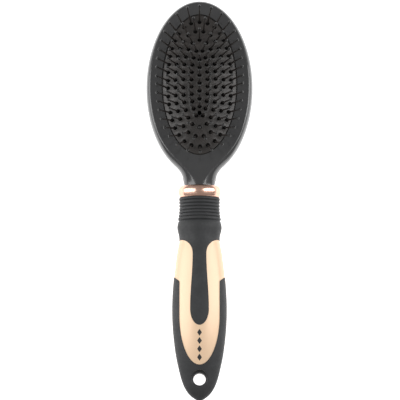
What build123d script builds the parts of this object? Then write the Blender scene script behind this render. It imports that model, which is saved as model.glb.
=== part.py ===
from build123d import *
import os
from math import asin, cos, degrees, hypot, pi, radians, sin, sqrt

# Oval cushion hair brush, lying on its back with the pins up.
# Millimetres. +Y points from the handle to the head, +Z out of the pin side,
# X = 0 is the mirror plane. The origin is the middle of the resting footprint.

THROUGH = 40.0         # length of a cutter that goes right through the brush

# Head
AXIS_Z = 10.5          # height of the handle's axis, and the parting plane of the head's two shells
RIM_Z = 17.0           # flat front face around the cushion
HEAD_Y = 68.3          # centre of the head's oval
HEAD_A = 32.25         # half width of the head
HEAD_B = 53.6          # half length of the head's oval
BEVEL = 2.6            # how far the rounded edge runs in from the side at the front face
NECK_A = 9.1           # half width of the neck where it enters the ferrule
NECK_B = 6.5           # half depth of the neck
NECK_KEEL = 0.45       # half width left of the front face where it runs out on the neck
NECK_TOP_Y = 9.0       # where the neck becomes straight
NECK_ROOT_Y = 17.0     # a place halfway along the sweep from head to neck, with its half widths
NECK_ROOT_A, KEEL_ROOT = 11.6, 7.0
NECK_END_Y = 1.2       # shoulder of the neck, at the foot of the ferrule
# Angle on the oval where the sweep into the neck starts, at the front face and at the parting plane
LEAVE_FRONT, LEAVE_SIDE = -28.0, -59.0
EDGE_TURNS = (0, 18, 36, 52, 66, 78, 90)   # sections around the rounded edge
BACK_DEPTH = 10.5      # depth of the back shell below the parting plane
BACK_FULL = 12.0       # below the oval's centre, where the back reaches its full depth
BACK_ANGLES = range(86, -59, -12)          # sections of the back shell, as angles on the oval
SWEEP_SHARES = (0, 0.3, 0.6, 1)            # and along the sweep
# Rows of the hollow behind the cushion: height, half width, half length
HOLLOW_ROWS = ((AXIS_Z, 25.2, 45.6), (6.0, 24.0, 42.5), (2.6, 15.0, 28.0))
TANG_A, TANG_B, TANG_END_Y = 6.5, 4.6, -20.0
TANG_ROOT = 1.0        # how far the tang reaches into the neck

# Cushion and its seat
PAD_Y = 69.65          # centre of the cushion
PAD_A, PAD_B = 22.5, 42.8
PAD_GAP = 0.35         # open line between the cushion and the frame
PAD_EDGE_Z = 16.2      # height of the dome's edge
PAD_RISE = 5.9         # height of the dome over its edge
PAD_WALL = 1.2
FLANGE_A, FLANGE_B, FLANGE_THICK = 26.4, 46.8, 1.2
POCKET_A, POCKET_B, LIP_Z = 27.0, 47.4, 15.0
TRAY_A, TRAY_B, TRAY_RIM, TRAY_FLOOR = 26.8, 47.2, 2.4, 1.5
VENT_R, VENT_Y = 1.2, 51.4

# Pins: one ring after another, from the middle outwards
RING_SHAPE = 2.3       # exponent of the rings' ovals: 2 is an ellipse
RING_A = (0.0, 4.8, 9.7, 14.5, 19.0)
RING_B = (14.4, 20.9, 26.7, 32.2, 38.1)
RING_COUNT = (7, 20, 26, 32, 38)
RING_TILT = (0.0, 6.0, 12.0, 18.0, 24.0)
LOWER_TILT, UPPER_TILT = 0.84, 1.05   # lean of a pin at the ends of a ring, as a share of one at its side
PIN_STRAIGHT = 0.4     # straight foot of the shaft above the cushion
PIN_LENGTH = 17.5      # from the cushion's surface to the end of the ball
PIN_ROOT_R, PIN_NECK_R, PIN_BALL_R = 0.55, 0.42, 0.85
FOOT_R, FOOT_TOP, FOOT_THICK = 1.4, 1.6, 0.6
PIN_HOLE_R = 0.62
PUNCH = 8.0            # length of the cutter for a hole in the cushion's skin
RING_STEPS = 720       # steps round a ring while its length is measured

# Ferrule: rows of Y and half width; the half depth is smaller by FERRULE_FLAT
FERRULE_ROWS = ((1.2, 11.7), (1.7, 12.1), (3.0, 12.45), (4.8, 12.7), (6.3, 12.55), (7.3, 12.2), (7.9, 11.7),
                (8.15, 11.1))
FERRULE_FLAT = 2.3
FERRULE_GAP = 0.05     # around the neck

# Grip and handle core
RIB_PITCH = 2.02
RIB_FIRST_Y = 0.3
# A rib's rounded profile: place along the pitch, and how much of the depth it is below the crown
RIB_PROFILE = ((-0.4, 0.5), (-0.28, 0.13), (-0.12, 0.0), (0.12, 0.0), (0.28, 0.13), (0.4, 0.5), (0.5, 1.0))
RIB_CROWNS = (12.3, 12.25, 12.2, 12.2, 12.32, 12.55, 12.87)
RIB_DEPTH = 0.75
GRIP_FLAT = 3.0        # half width less half depth along the ribs
GRIP_WALL = 1.6        # thickness of the rubber over the core
GOLD_SET = 0.2         # how far the bare core lies below the rubber
# Rows of Y, half width and half depth below the ribs; the first is an ellipse of the ribs' shape
HANDLE_ROWS = (
    (-14.6, 13.0, 10.0), (-17.1, 13.35, 10.2), (-20.0, 12.85, 9.9), (-23.2, 12.2, 9.5),
    (-29.3, 13.1, 9.65), (-36.6, 14.25, 10.0), (-47.5, 15.45, 10.3), (-60.9, 16.35, 10.5),
    (-73.0, 16.35, 10.3), (-85.0, 15.45, 9.5), (-94.8, 14.1, 8.1), (-104.6, 12.0, 6.0),
    (-109.4, 10.7, 5.0), (-114.3, 8.65, 4.0), (-118.0, 6.05, 3.0), (-120.5, 3.0, 1.9), (-121.8, 1.0, 0.9),
)
CORE_ROWS = ((1.2, 10.0, 7.6), (-4.0, 10.1, 7.7), (-8.5, 10.3, 7.8), (-13.0, 10.6, 8.0), (-17.1, 11.1, 8.2),
             (-23.2, 10.7, 7.9))
CORE_END_Y = -115.0    # rows beyond this one are rubber only
BARE_END_Y = -112.0    # rows beyond this one don't reach the bare part of the core

# Outline of the bare core between sleeve and tail, seen from above
BARE_TOP_Y = -24.9
BARE_OUT = 30.0        # beyond the sides of the handle
TONGUE_TOP_A, TONGUE_A = 4.1, 5.6
SHOULDER_A, SHOULDER_B = 8.1, 8.6
TONGUE_Y, TONGUE_END = -67.3, 9.7
PANEL_Y, PANEL_SLANT, PANEL_CORNER_R = -47.2, 3.0, 1.2
PANEL_OUT = 15.4       # where the top edge of a side panel starts to slant
LOOP_A, LOOP_Y, LOOP_END = 12.1, -71.0, 29.5

HOLE_Y, HOLE_R = -108.8, 3.75
HOLE_STRAIGHT = 5.0    # length of the hole's straight wall
HOLE_FLARE = 1.6
HOLE_LINER = 1.6       # rubber around the hole, inside the core
SOCKET_GAP = 0.04      # around the tang, in the core


def across(y):
    """A plane across the brush at Y, with X to the right and Z up."""
    return Plane(origin=(0, y, AXIS_Z), x_dir=(1, 0, 0), z_dir=(0, -1, 0))


def rod(rows, inset=0.0):
    """A solid through elliptical sections, each row being Y, half width and half depth."""
    return loft([across(y) * Ellipse(a - inset, b - inset) for y, a, b in rows])


def oval(a, b, z_low, z_high, y=PAD_Y):
    """An upright elliptical prism."""
    return extrude(Pos(0, y, z_low) * Ellipse(a, b), z_high - z_low)


def flank(turn):
    """The right side of the head's outline at one height: its oval, then the sweep into the neck.

    turn is the angle around the rounded edge: 0 at the parting plane, 90 at the front face.
    """
    c = cos(radians(turn))
    a = HEAD_A - BEVEL * (1 - c)
    b = HEAD_B - BEVEL * (1 - c)
    leave = LEAVE_FRONT + (LEAVE_SIDE - LEAVE_FRONT) * c
    neck = NECK_KEEL + (NECK_A - NECK_KEEL) * c
    start = (a * cos(radians(leave)), HEAD_Y + b * sin(radians(leave)))
    along = (a * sin(radians(leave)), -b * cos(radians(leave)))
    crown = EllipticalCenterArc((0, HEAD_Y), a, b, leave, arc_size=90 - leave)
    root = (KEEL_ROOT + (NECK_ROOT_A - KEEL_ROOT) * c, NECK_ROOT_Y)
    sweep = Spline(start, root, (neck, NECK_TOP_Y), tangents=[along, (-0.5 * (1 - c) - 0.1, -1)])
    return crown, sweep, neck


def head_outline(turn):
    """The head's closed outline at one height, as a face."""
    crown, sweep, neck = flank(turn)
    side = Line((neck, NECK_TOP_Y), (neck, NECK_END_Y))
    half = [crown, sweep, side]
    end = Line((neck, NECK_END_Y), (-neck, NECK_END_Y))
    face = make_face(half + [mirror(edge, about=Plane.YZ) for edge in half] + [end])
    return Pos(0, 0, AXIS_Z + (RIM_Z - AXIS_Z) * sin(radians(turn))) * face


def front_frame():
    """The glossy front shell: flat face, rounded edge, opening for the cushion."""
    body = loft([head_outline(turn) for turn in EDGE_TURNS])
    opening = oval(PAD_A + PAD_GAP, PAD_B + PAD_GAP, AXIS_Z, RIM_Z + 1)
    pocket = oval(POCKET_A, POCKET_B, AXIS_Z - 1, LIP_Z)
    return body - opening - pocket


def back_depth(y):
    """Depth of the back shell below the parting plane."""
    if y > HEAD_Y:
        return BACK_DEPTH * sqrt(1 - ((y - HEAD_Y) / HEAD_B) ** 3)
    rise = min(max((y - NECK_TOP_Y) / (HEAD_Y - BACK_FULL - NECK_TOP_Y), 0), 1)
    return NECK_B + (BACK_DEPTH - NECK_B) * rise * rise * (3 - 2 * rise)


def back_section(y, a):
    """Half of an ellipse, below the parting plane."""
    bow = EllipticalCenterArc((0, 0), a, back_depth(y), 180, arc_size=180)
    return across(y) * make_face([bow, Line((a, 0), (-a, 0))])


def head_back_shell():
    """The back shell, hollow behind the cushion, with the neck and the tang."""
    crown, sweep, neck = flank(0)
    oval_rows = [(HEAD_Y + HEAD_B * sin(radians(t)), HEAD_A * cos(radians(t))) for t in BACK_ANGLES]
    swept = [sweep.position_at(share) for share in SWEEP_SHARES]
    rows = oval_rows + [(p.Y, p.X) for p in swept] + [(NECK_END_Y, neck)]
    body = loft([back_section(y, a) for y, a in rows])
    hollow = loft([Pos(0, PAD_Y, z) * Ellipse(a, b) for z, a, b in HOLLOW_ROWS], ruled=True)
    tang = rod([(NECK_END_Y + TANG_ROOT, TANG_A, TANG_B), (TANG_END_Y, TANG_A, TANG_B)])
    corner = (Align.CENTER, Align.MIN, Align.MIN)
    upper_half = Pos(0, NECK_END_Y, AXIS_Z) * Box(THROUGH, THROUGH, THROUGH, align=corner)
    return body - hollow + (tang - upper_half)


def dome(a, b, rise, edge_z, floor_z):
    """A solid under an oval dome."""
    radius = (a * a + rise * rise) / (2 * rise)
    middle = edge_z + rise - radius
    spread = degrees(asin(a / radius))
    arc = CenterArc((0, middle), radius, 90 - spread, spread)
    lines = Polyline((0, edge_z + rise), (0, floor_z), (a, floor_z), (a, edge_z))
    round_dome = revolve(Plane.XZ * make_face([arc, lines]), Axis.Z)
    return Pos(0, PAD_Y, 0) * scale(round_dome, by=(1, b / a, 1))


def dome_height(x, y):
    """Height of the cushion's surface over a point, Y from the cushion's centre."""
    radius = (PAD_A * PAD_A + PAD_RISE * PAD_RISE) / (2 * PAD_RISE)
    out = hypot(x, y * PAD_A / PAD_B)
    return PAD_EDGE_Z + PAD_RISE - radius + sqrt(radius * radius - out * out)


def ring_point(ring, angle):
    """A point of a ring's oval at an angle, and its outward direction."""
    a, b = RING_A[ring], RING_B[ring]
    c, s = cos(angle), sin(angle)
    x = a * abs(c) ** (2 / RING_SHAPE) * (1 if c >= 0 else -1)
    y = b * abs(s) ** (2 / RING_SHAPE) * (1 if s >= 0 else -1)
    out = Vector(abs(x / a) ** (RING_SHAPE - 1) / a * (1 if x >= 0 else -1),
                 abs(y / b) ** (RING_SHAPE - 1) / b * (1 if y >= 0 else -1))
    return x, y, out.normalized()


def ring_places(ring):
    """Evenly spaced places of one ring: X, Y from the cushion's centre, and outward direction."""
    count = RING_COUNT[ring]
    if RING_A[ring] == 0:
        step = 2 * RING_B[ring] / (count - 1)
        return [(0.0, RING_B[ring] - i * step, Vector(0, 0)) for i in range(count)]
    points = [ring_point(ring, pi / 2 + 2 * pi * i / RING_STEPS) for i in range(RING_STEPS + 1)]
    length = [0.0]
    for p, q in zip(points, points[1:]):
        length.append(length[-1] + hypot(q[0] - p[0], q[1] - p[1]))
    # Every second ring starts half a step from the middle line, so that the rings are staggered
    offset = 0.5 if ring % 2 else 0.0
    places = []
    for i in range(count):
        goal = (i + offset) * length[-1] / count
        k = next(j for j in range(RING_STEPS + 1) if length[j] >= goal)
        places.append(points[k])
    return places


def pin_planes(ring):
    """The plane of every pin in a ring, on the cushion's surface, with Z along the pin."""
    tilt = radians(RING_TILT[ring])
    planes = []
    for x, y, out in ring_places(ring):
        end_tilt = tilt * (UPPER_TILT if out.Y > 0 else LOWER_TILT)
        way = Vector(out.X * sin(tilt), out.Y * sin(end_tilt), cos(tilt))
        planes.append(Plane(origin=(x, PAD_Y + y, dome_height(x, y)), z_dir=way))
    return planes


def pin():
    """One pin: foot under the cushion, tapered shaft, ball at the end."""
    ball_z = PIN_LENGTH - PIN_BALL_R
    meet = sqrt(PIN_BALL_R ** 2 - PIN_NECK_R ** 2)
    outline = [
        Polyline((0, PIN_LENGTH), (0, -FOOT_TOP - FOOT_THICK), (FOOT_R, -FOOT_TOP - FOOT_THICK),
                 (FOOT_R, -FOOT_TOP), (PIN_ROOT_R, -FOOT_TOP), (PIN_ROOT_R, PIN_STRAIGHT),
                 (PIN_NECK_R, ball_z - meet)),
        CenterArc((0, ball_z), PIN_BALL_R, 90, -90 - degrees(asin(meet / PIN_BALL_R))),
    ]
    return revolve(Plane.XZ * make_face(outline), Axis.Z)


def pins_ring(ring):
    """All the pins of one ring, as separate solids."""
    one = pin()
    return Compound([plane.location * one for plane in pin_planes(ring)])


def cushion():
    """The domed rubber cushion with its clamped flange, pin holes and vent."""
    seat_z = LIP_Z - FLANGE_THICK
    skin = dome(PAD_A, PAD_B, PAD_RISE, PAD_EDGE_Z, seat_z)
    # The inside is parallel to the outside: its radius is smaller by the wall, about the same middle
    radius = (PAD_A ** 2 + PAD_RISE ** 2) / (2 * PAD_RISE)
    inner_radius, inner_a = radius - PAD_WALL, PAD_A - PAD_WALL
    inner_edge = sqrt(inner_radius ** 2 - inner_a ** 2)
    inner_edge_z = PAD_EDGE_Z + PAD_RISE - radius + inner_edge
    inside = dome(inner_a, PAD_B - PAD_WALL, inner_radius - inner_edge, inner_edge_z, seat_z - 1)
    flange = oval(FLANGE_A, FLANGE_B, seat_z, LIP_Z)
    bore = Cylinder(PIN_HOLE_R, PUNCH)
    holes = [plane.location * bore for ring in range(len(RING_A)) for plane in pin_planes(ring)]
    vent = Pos(0, VENT_Y, PAD_EDGE_Z + PAD_RISE) * Cylinder(VENT_R, PUNCH)
    return (skin + flange - inside) - holes - vent


def cushion_base():
    """The plate that closes the air space and holds the cushion's flange up against the frame."""
    block = oval(TRAY_A, TRAY_B, AXIS_Z, LIP_Z - FLANGE_THICK)
    well = oval(TRAY_A - TRAY_RIM, TRAY_B - TRAY_RIM, AXIS_Z + TRAY_FLOOR, LIP_Z)
    return block - well


def ferrule(frame, shell):
    """The metal ring between the neck and the grip, closely fitted around the head's two shells."""
    ring = rod([(y, a, a - FERRULE_FLAT) for y, a in FERRULE_ROWS])
    low, high = FERRULE_ROWS[0][0], FERRULE_ROWS[-1][0]
    bore = rod([(low - 1, NECK_A, NECK_B), (high + 1, NECK_A, NECK_B)], inset=-FERRULE_GAP)
    return ring - bore - frame - shell


def ribbed_collar():
    """The rubber's ribbed upper end, from the ferrule to the first row of the handle."""
    rows = [(NECK_END_Y, RIB_CROWNS[0] - RIB_DEPTH)]
    for i, crown in enumerate(RIB_CROWNS):
        middle = RIB_FIRST_Y - i * RIB_PITCH
        rows += [(middle - RIB_PITCH * along, crown - RIB_DEPTH * sunk) for along, sunk in RIB_PROFILE]
    rows.append((HANDLE_ROWS[0][0] + RIB_PITCH / 2, HANDLE_ROWS[0][1] - RIB_DEPTH / 3))
    rows.append((HANDLE_ROWS[0][0], HANDLE_ROWS[0][1]))
    return loft([across(y) * Ellipse(a, a - GRIP_FLAT) for y, a in rows], ruled=True)


def bare_region():
    """The space in which the core lies bare, as a prism through the handle."""
    right = [
        Line((BARE_OUT, BARE_TOP_Y), (TONGUE_TOP_A + SHOULDER_A, BARE_TOP_Y)),
        EllipticalCenterArc((TONGUE_TOP_A + SHOULDER_A, BARE_TOP_Y - SHOULDER_B),
                            SHOULDER_A, SHOULDER_B, 90, arc_size=90),
        Spline((TONGUE_TOP_A, BARE_TOP_Y - SHOULDER_B), (TONGUE_A, TONGUE_Y), tangents=[(0, -1), (0, -1)]),
        EllipticalCenterArc((0, TONGUE_Y), TONGUE_A, TONGUE_END, 270, arc_size=90),
        FilletPolyline((BARE_OUT, PANEL_Y), (PANEL_OUT, PANEL_Y), (LOOP_A, PANEL_Y - PANEL_SLANT),
                       (LOOP_A, LOOP_Y), radius=PANEL_CORNER_R),
        EllipticalCenterArc((0, LOOP_Y), LOOP_A, LOOP_END, 270, arc_size=90),
        Line((BARE_OUT, PANEL_Y), (BARE_OUT, BARE_TOP_Y)),
    ]
    face = make_face(right + [mirror(edge, about=Plane.YZ) for edge in right])
    return extrude(Pos(0, 0, AXIS_Z) * face, THROUGH / 2, both=True)


def hanging_hole():
    """The cutter for the hanging hole: a straight wall with a flare at each mouth."""
    half = HOLE_STRAIGHT / 2
    mouth = half + HOLE_FLARE
    outer = HOLE_R + HOLE_FLARE
    far = THROUGH / 2
    outline = [
        Polyline((HOLE_R, -half), (HOLE_R, half)),
        CenterArc((outer, half), HOLE_FLARE, 180, -90),
        Polyline((outer, mouth), (outer, far), (0, far), (0, -far), (outer, -far), (outer, -mouth)),
        CenterArc((outer, -half), HOLE_FLARE, 270, -90),
    ]
    return Pos(0, HOLE_Y, AXIS_Z) * revolve(Plane.XZ * make_face(outline), Axis.Z)


def handle_parts():
    """The hard core and the two rubber pieces moulded over it."""
    inner_rows = list(CORE_ROWS)
    covered = [row for row in HANDLE_ROWS if CORE_END_Y < row[0] < BARE_TOP_Y]
    inner_rows += [(y, a - GRIP_WALL, b - GRIP_WALL) for y, a, b in covered]
    inner = rod(inner_rows) - Pos(0, HOLE_Y, AXIS_Z) * Cylinder(HOLE_R + HOLE_LINER, THROUGH)
    region = bare_region()
    bare_rows = [row for row in HANDLE_ROWS if BARE_END_Y < row[0] < HANDLE_ROWS[0][0]]
    socket = rod([(NECK_END_Y, TANG_A, TANG_B), (TANG_END_Y - SOCKET_GAP, TANG_A, TANG_B)], inset=-SOCKET_GAP)
    core = inner + (rod(bare_rows, inset=GOLD_SET) & region) - socket
    rubber = rod(HANDLE_ROWS) - region - hanging_hole() + ribbed_collar() - inner
    sleeve, tail = rubber.solids().sort_by(Axis.Y, reverse=True)
    return core, sleeve, tail


def main():
    core, sleeve, tail = handle_parts()
    frame = front_frame()
    shell = head_back_shell()
    nodes = {
        "head_back_shell": shell,
        "front_frame": frame,
        "cushion": cushion(),
        "cushion_base": cushion_base(),
        "ferrule": ferrule(frame, shell),
        "handle_core": core,
        "grip_sleeve": sleeve,
        "grip_tail": tail,
    }
    for ring in range(len(RING_A)):
        nodes[f"pins_ring_{ring}"] = pins_ring(ring)
    os.makedirs("parts", exist_ok=True)
    for name, shape in nodes.items():
        export_step(shape, f"parts/{name}.step")


main()
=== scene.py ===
import math

import bmesh
import bpy
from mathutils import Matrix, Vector
from mathutils.bvhtree import BVHTree
from mathutils.geometry import delaunay_2d_cdt


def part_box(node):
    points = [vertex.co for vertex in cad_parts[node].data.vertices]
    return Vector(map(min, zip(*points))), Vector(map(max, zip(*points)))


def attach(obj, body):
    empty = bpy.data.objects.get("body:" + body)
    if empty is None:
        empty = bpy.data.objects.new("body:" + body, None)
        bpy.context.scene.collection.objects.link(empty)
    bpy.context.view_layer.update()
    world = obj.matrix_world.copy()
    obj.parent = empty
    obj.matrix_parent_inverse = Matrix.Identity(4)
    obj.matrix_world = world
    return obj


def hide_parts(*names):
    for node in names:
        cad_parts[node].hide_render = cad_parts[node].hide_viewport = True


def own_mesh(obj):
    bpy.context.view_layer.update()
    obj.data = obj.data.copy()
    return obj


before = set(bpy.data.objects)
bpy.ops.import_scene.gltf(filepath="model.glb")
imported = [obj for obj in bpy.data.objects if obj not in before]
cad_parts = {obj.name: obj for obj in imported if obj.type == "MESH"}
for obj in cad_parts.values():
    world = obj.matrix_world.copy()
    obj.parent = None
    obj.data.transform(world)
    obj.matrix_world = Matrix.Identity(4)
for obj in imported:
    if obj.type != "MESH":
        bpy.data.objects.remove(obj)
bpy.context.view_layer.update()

# ---------------------------------------------------------------- camera
AXIS_Z = 0.0105            # height of the handle's axis, where the brush is aimed at
CAM_ELEVATION = math.radians(81)
CAM_DISTANCE = 2.5
CAM_HALF_VIEW = 0.1205     # half of the field's width, at the aim
CAM_AIM = Vector((0.0003, 0.0, AXIS_Z))


def add_camera():
    data = bpy.data.cameras.new("camera")
    data.sensor_width = 36
    data.lens = data.sensor_width / 2 * CAM_DISTANCE / CAM_HALF_VIEW
    data.clip_start, data.clip_end = 0.05, 20
    cam = bpy.data.objects.new("camera", data)
    bpy.context.scene.collection.objects.link(cam)
    back = Vector((0, -math.cos(CAM_ELEVATION), math.sin(CAM_ELEVATION)))
    cam.location = CAM_AIM + back * CAM_DISTANCE
    cam.rotation_mode = "QUATERNION"
    cam.rotation_quaternion = (-back).to_track_quat("-Z", "Y")
    bpy.context.scene.camera = cam


# ---------------------------------------------------------------- light and floor
# A softbox at either side: name, place, width, height, power
SOFTBOXES = (("key_left", (-0.78, 0.1, 0.62), 0.5, 1.2, 6.6),
             ("key_right", (0.72, 0.15, 0.66), 0.4, 1.1, 5.6))
SKY_STRENGTH = 0.3
FLOOR_HALF = 3.0
FLOOR_GLOW = 0.9


def add_softbox(name, place, width, height, power):
    """An area light aimed at the origin."""
    data = bpy.data.lights.new(name, "AREA")
    data.shape = "RECTANGLE"
    data.size = width
    data.size_y = height
    data.energy = power
    lamp = bpy.data.objects.new(name, data)
    bpy.context.scene.collection.objects.link(lamp)
    lamp.location = place
    lamp.rotation_mode = "QUATERNION"
    lamp.rotation_quaternion = (-Vector(place)).to_track_quat("-Z", "Y")


def add_lights():
    for box in SOFTBOXES:
        add_softbox(*box)
    world = bpy.data.worlds.new("studio")
    world.use_nodes = True
    sky = world.node_tree.nodes["Background"]
    sky.inputs["Color"].default_value = (1, 1, 1, 1)
    sky.inputs["Strength"].default_value = SKY_STRENGTH
    bpy.context.scene.world = world
    bpy.context.scene.view_settings.view_transform = "Standard"


def add_floor():
    """A white floor that glows a little, so that it stays white under soft light."""
    mesh = bpy.data.meshes.new("floor")
    corners = [(x * FLOOR_HALF, y * FLOOR_HALF, 0) for x, y in ((-1, -1), (1, -1), (1, 1), (-1, 1))]
    mesh.from_pydata(corners, [], [(0, 1, 2, 3)])
    floor = bpy.data.objects.new("floor", mesh)
    bpy.context.scene.collection.objects.link(floor)
    kit = Kit("floor_paper")
    kit.set(base_color=(0.9, 0.9, 0.9), roughness=0.9)
    kit.shader.inputs["Emission Color"].default_value = (1, 1, 1, 1)
    kit.shader.inputs["Emission Strength"].default_value = FLOOR_GLOW
    mesh.materials.append(kit.material)


# ---------------------------------------------------------------- materials
PIN_SHADE = "pin_shade"       # painted shade: 1 in the dimple around a pin and in the vent, 0 on the rest of the cushion
# Tones along a pin: share of the ring's height, colour
PIN_TONES = ((0.0, (0.006, 0.005, 0.005)), (0.22, (0.008, 0.007, 0.006)), (0.42, (0.030, 0.024, 0.021)),
             (0.86, (0.046, 0.042, 0.040)), (0.93, (0.012, 0.011, 0.011)), (1.0, (0.008, 0.008, 0.008)))


class Kit:
    """A material's node tree, with short calls for the nodes that the materials below share."""

    def __init__(self, name):
        self.material = bpy.data.materials.new(name)
        self.material.use_nodes = True
        self.nodes = self.material.node_tree.nodes
        self.links = self.material.node_tree.links
        self.shader = self.nodes["Principled BSDF"]
        self.coords = self.nodes.new("ShaderNodeTexCoord").outputs["Object"]

    def set(self, base_color=None, **values):
        """Plain values for the shader's sockets, named as Blender names them, in lower case."""
        if base_color:
            self.shader.inputs["Base Color"].default_value = (*base_color, 1)
        for key, value in values.items():
            socket = "IOR" if key == "ior" else key.replace("_", " ").title()
            self.shader.inputs[socket].default_value = value

    def noise(self, scale, detail=3.0, rough=0.55, stretch=(1, 1, 1), distort=0.0):
        """Noise over the object's own coordinates; scale is in features per metre."""
        place = self.nodes.new("ShaderNodeMapping")
        place.inputs["Scale"].default_value = stretch
        self.links.new(self.coords, place.inputs["Vector"])
        tex = self.nodes.new("ShaderNodeTexNoise")
        tex.inputs["Scale"].default_value = scale
        tex.inputs["Detail"].default_value = detail
        tex.inputs["Roughness"].default_value = rough
        tex.inputs["Distortion"].default_value = distort
        self.links.new(place.outputs["Vector"], tex.inputs["Vector"])
        return tex.outputs["Fac"]

    def cells(self, scale):
        """Distance to the nearest of many scattered points; scale is in points per metre."""
        tex = self.nodes.new("ShaderNodeTexVoronoi")
        tex.inputs["Scale"].default_value = scale
        self.links.new(self.coords, tex.inputs["Vector"])
        return tex.outputs["Distance"]

    def spread(self, value, low, high, start=0.3, end=0.7):
        """value, mapped from start..end to low..high."""
        node = self.nodes.new("ShaderNodeMapRange")
        node.inputs["From Min"].default_value = start
        node.inputs["From Max"].default_value = end
        node.inputs["To Min"].default_value = low
        node.inputs["To Max"].default_value = high
        self.links.new(value, node.inputs["Value"])
        return node.outputs["Result"]

    def ramp(self, value, low, high, start=0.3, end=0.7):
        """A colour from low to high with value."""
        ramp = self.nodes.new("ShaderNodeValToRGB")
        ramp.color_ramp.elements[0].position = start
        ramp.color_ramp.elements[0].color = (*low, 1)
        ramp.color_ramp.elements[1].position = end
        ramp.color_ramp.elements[1].color = (*high, 1)
        self.links.new(value, ramp.inputs["Fac"])
        return ramp.outputs["Color"]

    def tone(self, value, low, high, start=0.3, end=0.7):
        """Base colour from low to high with value."""
        self.links.new(self.ramp(value, low, high, start, end), self.shader.inputs["Base Color"])

    def rough(self, value, low, high):
        """Roughness from low to high with value."""
        self.links.new(self.spread(value, low, high), self.shader.inputs["Roughness"])

    def bump(self, layers):
        """Bump from (value, depth in metres) layers, one over another."""
        normal = None
        for value, depth in layers:
            node = self.nodes.new("ShaderNodeBump")
            node.inputs["Strength"].default_value = 1.0
            node.inputs["Distance"].default_value = depth
            self.links.new(value, node.inputs["Height"])
            if normal:
                self.links.new(normal, node.inputs["Normal"])
            normal = node.outputs["Normal"]
        self.links.new(normal, self.shader.inputs["Normal"])


def head_plastic():
    kit = Kit("graphite_gloss")
    kit.tone(kit.noise(60, 4), (0.038, 0.038, 0.039), (0.046, 0.046, 0.047))
    kit.rough(kit.noise(900, 2, stretch=(1, 0.15, 1)), 0.16, 0.26)
    kit.set(coat_weight=0.6, coat_roughness=0.05, ior=1.5)
    kit.bump([(kit.noise(260, 2), 4e-6), (kit.noise(3500, 1), 7e-7)])
    return kit.material


def cushion_rubber():
    """Rubber, with painted shade (near black) around each pin and in the vent, where PIN_SHADE is 1."""
    kit = Kit("cushion_rubber")
    shade = kit.nodes.new("ShaderNodeAttribute")
    shade.attribute_name = PIN_SHADE
    skin = kit.ramp(kit.noise(120, 4), (0.026, 0.023, 0.021), (0.040, 0.034, 0.031))
    mix = kit.nodes.new("ShaderNodeMix")
    mix.data_type = "RGBA"
    # painted shade: the near-black colour mixed in around the pins and in the vent
    mix.inputs["B"].default_value = (0.003, 0.003, 0.003, 1)
    kit.links.new(shade.outputs["Fac"], mix.inputs["Factor"])
    kit.links.new(skin, mix.inputs["A"])
    kit.links.new(mix.outputs["Result"], kit.shader.inputs["Base Color"])
    kit.rough(kit.noise(400, 3), 0.34, 0.46)
    kit.set(ior=1.5)
    kit.bump([(kit.noise(150, 2), 3e-5), (kit.noise(2600, 2), 4e-6)])
    return kit.material


def inner_plastic():
    kit = Kit("inner_plastic")
    kit.tone(kit.noise(300, 3), (0.020, 0.020, 0.020), (0.030, 0.030, 0.030))
    kit.rough(kit.noise(900, 2), 0.5, 0.65)
    kit.bump([(kit.noise(3000, 2), 4e-6)])
    return kit.material


def pin_nylon(node):
    """Grey-brown nylon, darker at the root and at the ball, by height over this ring's lowest point."""
    kit = Kit("pin_nylon_" + node[-1])
    low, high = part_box(node)
    split = kit.nodes.new("ShaderNodeSeparateXYZ")
    kit.links.new(kit.coords, split.inputs["Vector"])
    height = kit.spread(split.outputs["Z"], 0, 1, low.z, high.z)
    ramp = kit.nodes.new("ShaderNodeValToRGB")
    stops = ramp.color_ramp.elements
    while len(stops) < len(PIN_TONES):
        stops.new(0.5)
    for stop, (place, colour) in zip(stops, PIN_TONES):
        stop.position = place
        stop.color = (*colour, 1)
    kit.links.new(height, ramp.inputs["Fac"])
    kit.links.new(ramp.outputs["Color"], kit.shader.inputs["Base Color"])
    kit.rough(kit.noise(1200, 2), 0.26, 0.4)
    kit.bump([(kit.noise(2500, 2), 3e-6)])
    return kit.material


def rose_gold_metal():
    kit = Kit("rose_gold_metal")
    kit.tone(kit.noise(200, 3), (0.86, 0.52, 0.40), (0.92, 0.60, 0.47))
    kit.rough(kit.noise(1500, 3, stretch=(0.1, 1, 0.1)), 0.16, 0.28)
    kit.set(metallic=1.0)
    kit.bump([(kit.noise(2500, 3, stretch=(0.05, 1, 0.05)), 2.5e-6)])
    return kit.material


def rose_gold_paint():
    kit = Kit("rose_gold_paint")
    kit.tone(kit.noise(5200, 2), (0.88, 0.62, 0.41), (0.94, 0.68, 0.46))
    kit.rough(kit.noise(1500, 3), 0.36, 0.46)
    kit.set(metallic=0.2, coat_weight=0.25, coat_roughness=0.2)
    kit.bump([(kit.noise(180, 2), 8e-6), (kit.cells(4000), 1.5e-6)])
    return kit.material


def grip_rubber():
    kit = Kit("grip_rubber")
    kit.tone(kit.noise(150, 4), (0.020, 0.021, 0.022), (0.029, 0.030, 0.032))
    kit.rough(kit.noise(700, 3), 0.5, 0.66)
    kit.set(sheen_weight=0.15, sheen_roughness=0.4)
    kit.bump([(kit.noise(160, 2), 1.5e-5), (kit.noise(5200, 2), 1.2e-5)])
    return kit.material


NODE_MATERIALS = {
    "head_back_shell": head_plastic, "front_frame": head_plastic, "cushion": cushion_rubber,
    "cushion_base": inner_plastic, "ferrule": rose_gold_metal, "handle_core": rose_gold_paint,
    "grip_sleeve": grip_rubber, "grip_tail": grip_rubber,
}
PIN_NODES = [f"pins_ring_{ring}" for ring in range(5)]


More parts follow.
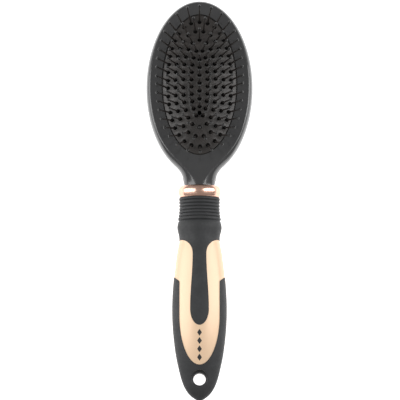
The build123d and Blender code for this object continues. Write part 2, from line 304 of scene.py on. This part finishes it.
def dress_cad_nodes():
    """Give every CAD node its material, and return the materials by their functions."""
    made = {}
    for name, make in NODE_MATERIALS.items():
        if make not in made:
            made[make] = make()
        wear(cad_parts[name], made[make])
    for name in PIN_NODES:
        wear(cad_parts[name], pin_nylon(name))
    return made


def wear(piece, material):
    piece.data.materials.clear()
    piece.data.materials.append(material)


# ---------------------------------------------------------------- cushion
PAD_A, PAD_B = 0.0225, 0.0428     # half width and half length of the dome
PAD_RISE = 0.0059                 # height of the dome over its edge
PAD_STEP = 0.0014                 # spacing of the skin's points away from the pins
PAD_WALL = 0.001
EDGE_ROUND = 0.0006               # rounding of the dome's edge
SKIRT_DROP = 0.0011               # how far the edge goes down into the gap around it
LIP_DROP = 0.0012                 # from the dome's edge down to the top of the flange
VENT_R, VENT_DIMPLE = 0.0012, 0.0003
VENT_BACK = 0.01825               # from the cushion's centre, towards the handle
VENT_LIP, VENT_CLEAR = 1.25, 1.7  # ring of points around the vent, and the field's nearest, in VENT_R
VENT_SHADE_REACH = 1.1            # the vent's edge is sunk and carries painted shade this far out, in radii of the vent
# Section of the dimple around a pin: distance from the pin's axis, height over the dome, painted shade
DIMPLE = ((0.00062, -0.0005, 1.0), (0.0009, -0.0004, 1.0), (0.00115, 0.0, 0.6), (0.00135, 0.00012, 0.15),
          (0.00165, 0.00006, 0.0), (0.002, 0.0, 0.0))
DIMPLE_POINTS, VENT_POINTS, EDGE_POINTS, FLANGE_POINTS = 12, 24, 220, 160
EDGE_STEPS, SKIRT_STEPS = 4, 2    # rings of points over the rounded edge, and below it
FIELD_REACH = 0.985               # how far out the field of points goes, as a share of the space in the edge
ROW_SHARE = 0.87                  # distance between the field's rows, as a share of PAD_STEP
HOLE_SHARE = 0.99                 # a triangle is in a hole if its middle is within this share of the radius
CDT_EPSILON = 1e-7
PIN_WELD = 1e-6                   # points of a pin's mesh closer than this are one
PIN_END = 0.12                    # share of a pin's height that gives the middle of its foot or tip
ROOT_PASSES = 4                   # steps that bring a pin's axis onto the dome

pad_low, pad_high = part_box("cushion")
pad_top = Vector(((pad_low.x + pad_high.x) / 2, (pad_low.y + pad_high.y) / 2, pad_high.z))
pad_edge_z = pad_high.z - PAD_RISE
pad_radius = (PAD_A ** 2 + PAD_RISE ** 2) / (2 * PAD_RISE)


def dome_z(x, y):
    """Height of the smooth dome; x and y are from its centre."""
    out = math.hypot(x, y * PAD_A / PAD_B)
    return pad_top.z - pad_radius + math.sqrt(pad_radius ** 2 - out ** 2)


def pin_axes():
    """Foot and direction of every pin, from the CAD pins' meshes."""
    axes = []
    for name in PIN_NODES:
        bm = bmesh.new()
        bm.from_mesh(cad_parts[name].data)
        bmesh.ops.remove_doubles(bm, verts=bm.verts, dist=PIN_WELD)
        left = set(bm.verts)
        while left:
            island, queue = [], [left.pop()]
            while queue:
                vert = queue.pop()
                island.append(vert.co.copy())
                for edge in vert.link_edges:
                    other = edge.other_vert(vert)
                    if other in left:
                        left.remove(other)
                        queue.append(other)
            foot = min(co.z for co in island)
            tip = max(co.z for co in island)
            span = tip - foot
            ends = []
            for near in (foot, tip):
                near_points = [co for co in island if abs(co.z - near) < PIN_END * span]
                ends.append(sum(near_points, Vector()) / len(near_points))
            axes.append((ends[0], (ends[1] - ends[0]).normalized()))
        bm.free()
    return axes


def pin_roots():
    """Where each pin's axis meets the dome, from the cushion's centre."""
    roots = []
    for foot, way in pin_axes():
        point = foot - pad_top
        for _ in range(ROOT_PASSES):
            point = point + way * ((dome_z(point.x, point.y) - pad_top.z - point.z) / way.z)
        roots.append((point.x, point.y))
    return roots


def skin_plan(roots):
    """The skin in plan: its points, from the cushion's centre, and its triangles. The first EDGE_POINTS
    points are the outline."""
    points, edges = [], []

    def ring(cx, cy, a, b, count, closed):
        start = len(points)
        for i in range(count):
            turn = 2 * math.pi * i / count
            points.append(Vector((cx + a * math.cos(turn), cy + b * math.sin(turn))))
        if closed:
            edges.extend((start + i, start + (i + 1) % count) for i in range(count))

    ring(0, 0, PAD_A - EDGE_ROUND, PAD_B - EDGE_ROUND, EDGE_POINTS, True)
    for x, y in roots:
        for k, (r, _, _) in enumerate(DIMPLE):
            ring(x, y, r, r, DIMPLE_POINTS, k == 0)
    ring(0, -VENT_BACK, VENT_R, VENT_R, VENT_POINTS, True)
    ring(0, -VENT_BACK, VENT_R * VENT_LIP, VENT_R * VENT_LIP, VENT_POINTS, False)
    clear = DIMPLE[-1][0] + PAD_STEP / 2
    reach_x, reach_y = int(PAD_A / PAD_STEP) + 1, int(PAD_B / PAD_STEP) + 1
    for j in range(-reach_y, reach_y + 1):
        for i in range(-reach_x, reach_x + 1):
            x, y = (i + 0.5 * (j % 2)) * PAD_STEP, j * PAD_STEP * ROW_SHARE
            inside = math.hypot(x / (PAD_A - 2 * EDGE_ROUND), y / (PAD_B - 2 * EDGE_ROUND)) < FIELD_REACH
            free = all(math.hypot(x - px, y - py) > clear for px, py in roots)
            if inside and free and math.hypot(x, y + VENT_BACK) > VENT_R * VENT_CLEAR:
                points.append(Vector((x, y)))
    flat, _, faces, *_ = delaunay_2d_cdt(points, edges, [], 1, CDT_EPSILON)
    holes = [(x, y, DIMPLE[0][0]) for x, y in roots] + [(0, -VENT_BACK, VENT_R)]
    kept = []
    for face in faces:
        mx, my = (sum(flat[v][k] for v in face) / 3 for k in (0, 1))
        if all(math.hypot(mx - x, my - y) > r * HOLE_SHARE for x, y, r in holes):
            kept.append(face)
    return flat, kept


def dimple_at(distance):
    """Height over the dome and shade at a distance from a pin's axis."""
    for (r0, h0, s0), (r1, h1, s1) in zip(DIMPLE, DIMPLE[1:]):
        if distance <= r1:
            t = max(0.0, (distance - r0) / (r1 - r0))
            return h0 + (h1 - h0) * t, s0 + (s1 - s0) * t
    return 0.0, 0.0


def new_piece(name, verts, faces, material):
    mesh = bpy.data.meshes.new(name)
    mesh.from_pydata(verts, [], faces)
    mesh.update()
    for polygon in mesh.polygons:
        polygon.use_smooth = True
    mesh.materials.append(material)
    piece = bpy.data.objects.new(name, mesh)
    bpy.context.scene.collection.objects.link(piece)
    return piece


def cushion_skin(material):
    """The domed skin: a dimple around each pin, the vent, and a rounded edge that dips into the gap."""
    roots = pin_roots()
    flat, faces = skin_plan(roots)
    verts, shades = [], []
    for point in flat:
        x, y = point
        near = min(math.hypot(x - px, y - py) for px, py in roots)
        lift, shade = dimple_at(near)
        # painted shade over the vent's sunk edge
        if math.hypot(x, y + VENT_BACK) < VENT_R * VENT_SHADE_REACH:
            lift, shade = -VENT_DIMPLE, 1.0
        verts.append((pad_top.x + x, pad_top.y + y, dome_z(x, y) + lift))
        shades.append(shade)
    outline = list(range(EDGE_POINTS))
    for k in range(1, EDGE_STEPS + SKIRT_STEPS + 1):
        turn = math.radians(90 * min(k, EDGE_STEPS) / EDGE_STEPS)
        drop = SKIRT_DROP * max(0, k - EDGE_STEPS) / SKIRT_STEPS
        grow = EDGE_ROUND * (math.sin(turn) - 1)
        fresh = []
        for i in range(EDGE_POINTS):
            angle = 2 * math.pi * i / EDGE_POINTS
            x, y = (PAD_A + grow) * math.cos(angle), (PAD_B + grow) * math.sin(angle)
            base = dome_z((PAD_A - EDGE_ROUND) * math.cos(angle), (PAD_B - EDGE_ROUND) * math.sin(angle))
            z = base - EDGE_ROUND * (1 - math.cos(turn)) - drop
            fresh.append(len(verts))
            verts.append((pad_top.x + x, pad_top.y + y, z))
            shades.append(0.0)
        for i in range(EDGE_POINTS):
            j = (i + 1) % EDGE_POINTS
            faces.append((outline[i], fresh[i], fresh[j], outline[j]))
        outline = fresh
    skin = new_piece("cushion_skin", verts, faces, material)
    layer = skin.data.attributes.new(PIN_SHADE, "FLOAT", "POINT")
    layer.data.foreach_set("value", shades)
    solid = skin.modifiers.new("wall", "SOLIDIFY")
    solid.thickness = PAD_WALL
    solid.offset = -1
    return skin


def freeze(piece):
    """Replace a piece's mesh with what its modifiers make of it."""
    graph = bpy.context.evaluated_depsgraph_get()
    mesh = bpy.data.meshes.new_from_object(piece.evaluated_get(graph))
    piece.modifiers.clear()
    piece.data = mesh


def cushion_flange(material):
    """The flat rim of the cushion, held under the frame's lip."""
    top = pad_edge_z - LIP_DROP
    inner = (PAD_A - PAD_WALL, PAD_B - PAD_WALL)
    outer = (pad_high.x, (pad_high.y - pad_low.y) / 2)
    rows = [(*inner, top), (PAD_A, PAD_B, top), (*outer, top), (*outer, pad_low.z), (*inner, pad_low.z)]
    verts, faces = [], []
    for a, b, z in rows:
        for i in range(FLANGE_POINTS):
            angle = 2 * math.pi * i / FLANGE_POINTS
            verts.append((pad_top.x + a * math.cos(angle), pad_top.y + b * math.sin(angle), z))
    for k in range(len(rows)):
        here, there = k * FLANGE_POINTS, (k + 1) % len(rows) * FLANGE_POINTS
        for i in range(FLANGE_POINTS):
            j = (i + 1) % FLANGE_POINTS
            faces.append((here + i, there + i, there + j, here + j))
    flange = new_piece("cushion_flange", verts, faces, material)
    for polygon in flange.data.polygons:
        polygon.use_smooth = False
    return flange


def add_cushion(material):
    """Both pieces of the cushion in place of the CAD one."""
    skin = cushion_skin(material)
    freeze(skin)
    flange = cushion_flange(material)
    for piece in (skin, flange):
        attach(piece, "head")
        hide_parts("cushion")
    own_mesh(skin)


# ---------------------------------------------------------------- ornament on the handle
MARKS = 4
MARK_A, MARK_B = 0.0014, 0.0021   # half width and half length of a lozenge
MARK_FIRST_Y, MARK_PITCH = -0.0815, 0.0049
MARK_THICK = 0.00004
MARK_LIFT = MARK_THICK / 4        # from the core up to the lozenges' points
MARK_CELLS = 8
RAY_HEIGHT = 1.0                  # well above the brush


def add_ornament(material):
    """A short row of printed lozenges down the front of the bare core."""
    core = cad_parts["handle_core"]
    tree = BVHTree.FromObject(core, bpy.context.evaluated_depsgraph_get())
    verts, faces = [], []
    for mark in range(MARKS):
        middle = MARK_FIRST_Y - mark * MARK_PITCH
        start = len(verts)
        for j in range(MARK_CELLS + 1):
            for i in range(MARK_CELLS + 1):
                u, v = i / MARK_CELLS - 0.5, j / MARK_CELLS - 0.5
                x, y = MARK_A * (u + v), middle + MARK_B * (v - u)
                hit = tree.ray_cast(Vector((x, y, RAY_HEIGHT)), Vector((0, 0, -1)))[0]
                verts.append((x, y, hit.z + MARK_LIFT))
        row = MARK_CELLS + 1
        for j in range(MARK_CELLS):
            for i in range(MARK_CELLS):
                a = start + j * row + i
                faces.append((a, a + 1, a + row + 1, a + row))
    marks = new_piece("handle_ornament", verts, faces, material)
    solid = marks.modifiers.new("print", "SOLIDIFY")
    solid.thickness = MARK_THICK
    solid.offset = 1
    freeze(marks)
    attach(marks, "head")


add_camera()
add_lights()
add_floor()
materials = dress_cad_nodes()
add_cushion(materials[cushion_rubber])
add_ornament(materials[inner_plastic])
